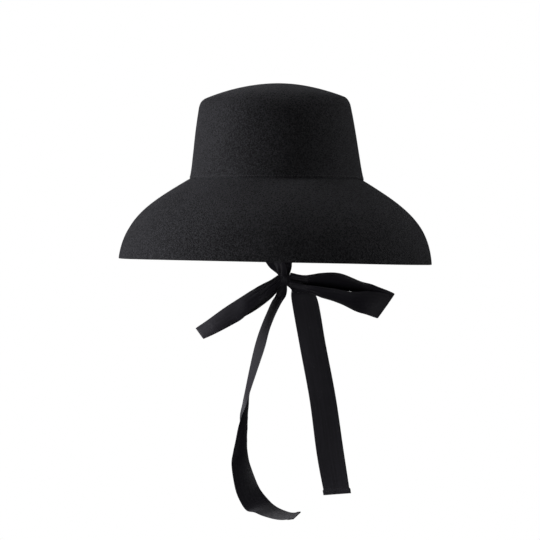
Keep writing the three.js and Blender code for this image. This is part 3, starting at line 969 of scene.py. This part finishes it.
# %% The two straps
STRAP_LEFT = [
    (-76, 0, -6, 41, -90, 28),
    (-64, 0, -19.5, 41, -89, 28),
    (-34, 0, -52, 42, -80, 28),
    (-8, 0, -76, 40, -66, 27),
    (2, -0.5, -86.3, 34, -47, 20.6),
    (7.2, -1, -98, 24, -45, 9.5),
]
STRAP_LEFT_FOLD = [(0, 0), (0.55, 0), (0.8, 4.9), (1, 3.5)]
STRAP_RIGHT = [
    (76, 0, -6, -41, -90, 28),
    (65, 0, -19.5, -41, -90, 28),
    (38, 2, -50, -42, -92, 28),
    (17.2, 5, -75, -30, -104, 24),
    (11.8, 6, -87, -16, -120, 16),
    (10.2, 3.8, -98, -8, -135, 6),
]
# From the collar's inside to a strap's middle: air, half the plain solid's thickness, and room for
# the curve of the wall across the strap's width.
STRAP_CLEARANCE = 0.3 * MM + 0.5 * MM + 1.45 * MM
STRAP_STITCHES_AT = 3 * MM  # under the strap's upper end


def seated(side, table):
    """A strap's table with two more rows on top, which lie flat on the inside of the collar."""
    clear = COLLAR_INSET + FELT + STRAP_CLEARANCE
    rows = []
    for height in (COLLAR_HEIGHT - 1 * MM, COLLAR_HEIGHT / 4):
        radius = crown_radius(height) - clear
        spot = oval_shell(np.array([[radius, height]]), 4)[1 if side > 0 else 3, 0] / MM
        rows.append((spot[0], 0, spot[2], table[0][3], -90, 28))
    return rows + table


strap_left = ribbon(
    "ribbon_strap_left", seated(-1, STRAP_LEFT), "strap_left", 150, "hung", ["brim"],
    pleats=2, fold_at=-0.35, fold=STRAP_LEFT_FOLD,
)
strap_right = ribbon("ribbon_strap_right", seated(1, STRAP_RIGHT), "strap_right", 150, "hung", ["brim"])
stitched_across("strap_stitches_left", strap_left[::-1], STRAP_STITCHES_AT, RIBBON_THICKNESS)
stitched_across("strap_stitches_right", strap_right[::-1], STRAP_STITCHES_AT, RIBBON_THICKNESS)

# %% [markdown]
# ## The bow's loops
#
# Each loop is one length of ribbon that leaves the knot, turns back at its end and returns. Two flat
# strips, one before the other, would look alike from the front. But then the end would be cut, and
# here it is one soft fold: a slit stays open between the layers, and light falls into it. So one
# table runs out and back again. Both layers arch a little, as ribbon does that a knot draws together.

# %% The bow's loops
LOOP_RIGHT = [
    (15, 1.5, -98, 82, -38, 9),
    (28, 1.5, -101.6, 80, -48, 15),
    (44, 1.5, -100.8, 74, -50, 25),
    (62.5, 1.5, -101.6, 73, -50, 28),
    (85.3, 1, -106.75, 68, -64, 28),
    (97, -0.5, -115.4, 60, -28, 26.3),
    (112, -4, -124.6, 56, 0, 29),
    (97, -5.5, -121.8, 60, -9, 26),
    (77, -5, -119, 71, -49, 25.5),
    (60, -4, -114.2, 71, -59.5, 23.2),
    (42.5, -3.5, -109.8, 70, -69, 21),
    (28, -3, -106.6, 68, -68, 15),
    (14, -2, -103.5, 66, -60, 7),
]
LOOP_LEFT = [
    (5, -1.5, -99.5, -57, -30, 8),
    (-2.5, -2, -106.2, -60, -40, 11.2),
    (-14.5, -3, -114.6, -58, -44, 18.8),
    (-27.7, -4, -124.9, -57, -47, 23.4),
    (-36.6, -4.5, -132.4, -57, -46, 26.6),
    (-46.2, -5, -138.7, -57, -45, 25.4),
    (-62.7, -6, -149.5, -54, -54, 25.6),
    (-73.7, -5.5, -156, -50, -62, 27),
    (-62.7, -4, -149.9, -54, -63, 28),
    (-46.2, -1.5, -139.4, -56, -61, 28),
    (-25.5, -0.5, -127.5, -57, -60, 28),
    (-11.5, 0.5, -118.2, -57, -61, 26),
    (-0.3, 1, -110.2, -58, -60, 18),
    (5.5, 1.5, -103, -60, -50, 7),
]
# How far each loop's middle arches from the line between its edges, in mm, at shares of its length.
LOOP_RIGHT_ARCH = [
    (0, 0),
    (0.12, 2),
    (0.25, 4),
    (0.36, 3),
    (0.47, 0),
    (0.56, 0.5),
    (0.66, 4.5),
    (0.8, 6),
    (1, 0),
]
LOOP_LEFT_ARCH = [
    (0, -1.5),
    (0.09, -3),
    (0.23, -4),
    (0.45, -2.5),
    (0.54, 0),
    (0.63, -2),
    (0.77, -2),
    (1, 0),
]
loop_right = ribbon(
    "ribbon_loop_right", LOOP_RIGHT, "bow_loop_right", 260, "folded", ["ribbon_knot"],
    fold=LOOP_RIGHT_ARCH, curve=2,
)
loop_left = ribbon(
    "ribbon_loop_left", LOOP_LEFT, "bow_loop_left", 260, "folded", ["ribbon_knot"],
    fold=LOOP_LEFT_ARCH, curve=2,
)

# %% [markdown]
# ## The tails
#
# The right tail hangs nearly flat. The left one twists once on its way down and curls forward at its
# tip. A flat strip would vanish where the twist turns its edge to the eye. Real ribbon doesn't,
# because a twist bends it across its width as well, so its section arches there. Both ends are
# turned under and stitched down, so that they don't fray.

# %% The tails
TAIL_LEFT = [
    (9, -1, -104.5, -16, -32, 6),
    (8, -2, -112, -15, -50, 10),
    (4, -3, -120, -17, -64, 20),
    (-1.2, -4, -131, -20, -72.5, 28),
    (-8, -3.5, -148.5, -18, -72, 28),
    (-13.1, -3, -167, -17, -69.5, 28),
    (-18.95, -2, -189.5, -15, -74, 28),
    (-24.6, -1, -212.5, -12, -80, 27.7),
    (-27.6, -1, -226, -9, -81.6, 26.2),
    (-30.9, -2, -238, -7, -86, 23.2),
    (-32.2, -3, -250, -6, -97, 21),
    (-31.4, -4, -262.5, -5, -111, 22.5),
    (-30.6, -6, -274, -2, -124, 25),
    (-29.9, -8, -285.5, 1, -131, 27.2),
    (-24.5, -13, -305, 10, -141, 28),
    (-19.7, -17, -315.8, 26, -144, 28),
    (-12.9, -21, -324.4, 29, -146, 28),
    (-5.7, -26.5, -328, 20, -135, 28),
    (3, -31, -331.8, 17, -132, 28),
    (15.6, -38.5, -334.4, 25, -118, 28),
    (27.1, -43, -333.1, 34, -107.5, 28),
]
# How far the left tail's middle arches where it twists, in mm, at shares of its length.
TAIL_LEFT_ARCH = [
    (0.25, 0),
    (0.3, 0.3),
    (0.35, 1.3),
    (0.4, 4.2),
    (0.45, 7.2),
    (0.5, 8.1),
    (0.55, 7.2),
    (0.6, 5.4),
    (0.65, 3),
    (0.675, 1.3),
    (0.7, 0.4),
    (0.74, 0),
]
TAIL_RIGHT = [
    (14, 4.4, -104, -8, -20, 6),
    (24.4, 10.4, -111, 0, -20, 16),
    (30.3, 13.5, -120.3, 9, -18, 26.4),
    (39.8, 12, -166.5, 11, -24, 28),
    (50.8, 12, -219, 11, -22, 28),
    (59.4, 11, -272.5, 10, -17, 28),
    (67.4, 9, -314.5, 7, -25, 28),
]
tail_left = ribbon(
    "ribbon_tail_left", TAIL_LEFT, "tail_left", 260, "hung", ["ribbon_knot"], HEM,
    fold=TAIL_LEFT_ARCH, curve=2,
)
tail_right = ribbon("ribbon_tail_right", TAIL_RIGHT, "tail_right", 220, "hung", ["ribbon_knot"], HEM)
HEM_STITCHES_AT = HEM - 1 * MM  # over the tail's end
stitched_across("hem_stitches_left", tail_left, HEM_STITCHES_AT, HEM_THICKNESS)
stitched_across("hem_stitches_right", tail_right, HEM_STITCHES_AT, HEM_THICKNESS)

# %% [markdown]
# ## The knot
#
# The knot is ribbon too, folded narrow and wrapped once, tightly, round the middle of the bow. A ball
# would fill the place, but it would take the light like a bead. A band carried round an oval keeps
# the ridge and the shallow pleats of drawn cloth. It is sized from the plain solid that it covers.

# %% The knot
KNOT_LOW, KNOT_HIGH = (np.array(corner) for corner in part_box("bow_knot"))
KNOT_INSET = 0.8 * MM  # keeps the cloth and its pleats within the solid
KNOT_THICKNESS = 0.6 * MM
KNOT_GIRTH = 40 * MM
KNOT_STEPS, KNOT_ACROSS_STEPS = 96, 40
KNOT_RIDGE = 0.3  # where along the knot's width, from -1 to 1, the wrap stands out most
KNOT_FALL = {"depth": 0.55, "curve": 1.2}  # how much less it stands out at its sides, and how straight
KNOT_PLEATS = {"depth": 0.05, "count": 2.2, "sway": 0.8}
KNOT_TAPER = {"sides": 0.25, "top": 0.1}  # how much lower its sides are, and how much narrower its top


def knot_sheet():
    """A band wrapped once round the bow's middle: an oval turn in the YZ plane, with its width along X.

    y = half depth * sin t * (1 - fall * away^curve) * pleat, with away from 0 at the ridge to 1 at
    both sides. z = half height * cos t * (1 - sides * v^4) * pleat. x = half width * v * (1 - top *
    cos t). pleat = 1 + depth * cos(turns of v, swaying with sin t)."""
    middle = (KNOT_LOW + KNOT_HIGH) / 2
    half = (KNOT_HIGH - KNOT_LOW) / 2 - KNOT_INSET
    turn = np.linspace(0, ROUND, KNOT_STEPS, endpoint=False)[:, None]
    v = np.linspace(-1, 1, KNOT_ACROSS_STEPS)[None, :]
    away = np.abs(v - KNOT_RIDGE) / np.where(v < KNOT_RIDGE, 1 + KNOT_RIDGE, 1 - KNOT_RIDGE)
    bulge = 1 - KNOT_FALL["depth"] * away ** KNOT_FALL["curve"]
    ripple = np.cos(ROUND * KNOT_PLEATS["count"] * v + KNOT_PLEATS["sway"] * np.sin(turn))
    pleat = 1 + KNOT_PLEATS["depth"] * ripple
    y = middle[1] + half[1] * np.sin(turn) * bulge * pleat
    z = middle[2] + half[2] * np.cos(turn) * (1 - KNOT_TAPER["sides"] * v**4) * pleat
    x = middle[0] + half[0] * v * (1 - KNOT_TAPER["top"] * np.cos(turn)) + 0 * turn
    return np.stack([x, y, z], -1)


def closed_band(sheet, thickness):
    """A closed ring of cloth round a middle surface that joins its own start."""
    wrapped = np.concatenate([sheet[-1:], sheet, sheet[:1]])
    along = (wrapped[2:] - wrapped[:-2]) / 2
    square = unit(np.cross(along, np.gradient(sheet, axis=1)))
    upper, lower = sheet + square * thickness / 2, sheet - square * thickness / 2
    loop = np.concatenate([upper, lower[:, ::-1]], 1)
    run = np.linspace(0, KNOT_GIRTH, len(sheet))
    v = np.linspace(0, RIBBON_WIDTH, sheet.shape[1])
    uvs = np.stack(np.broadcast_arrays(run[:, None], np.concatenate([v, v[::-1]])[None, :]), -1)
    return loop, [grid_faces(*loop.shape[:2])], uvs


knot = mesh_object("ribbon_knot", *closed_band(knot_sheet(), KNOT_THICKNESS))
finished(knot, ribbon_material, "ribbon", "bow_knot")
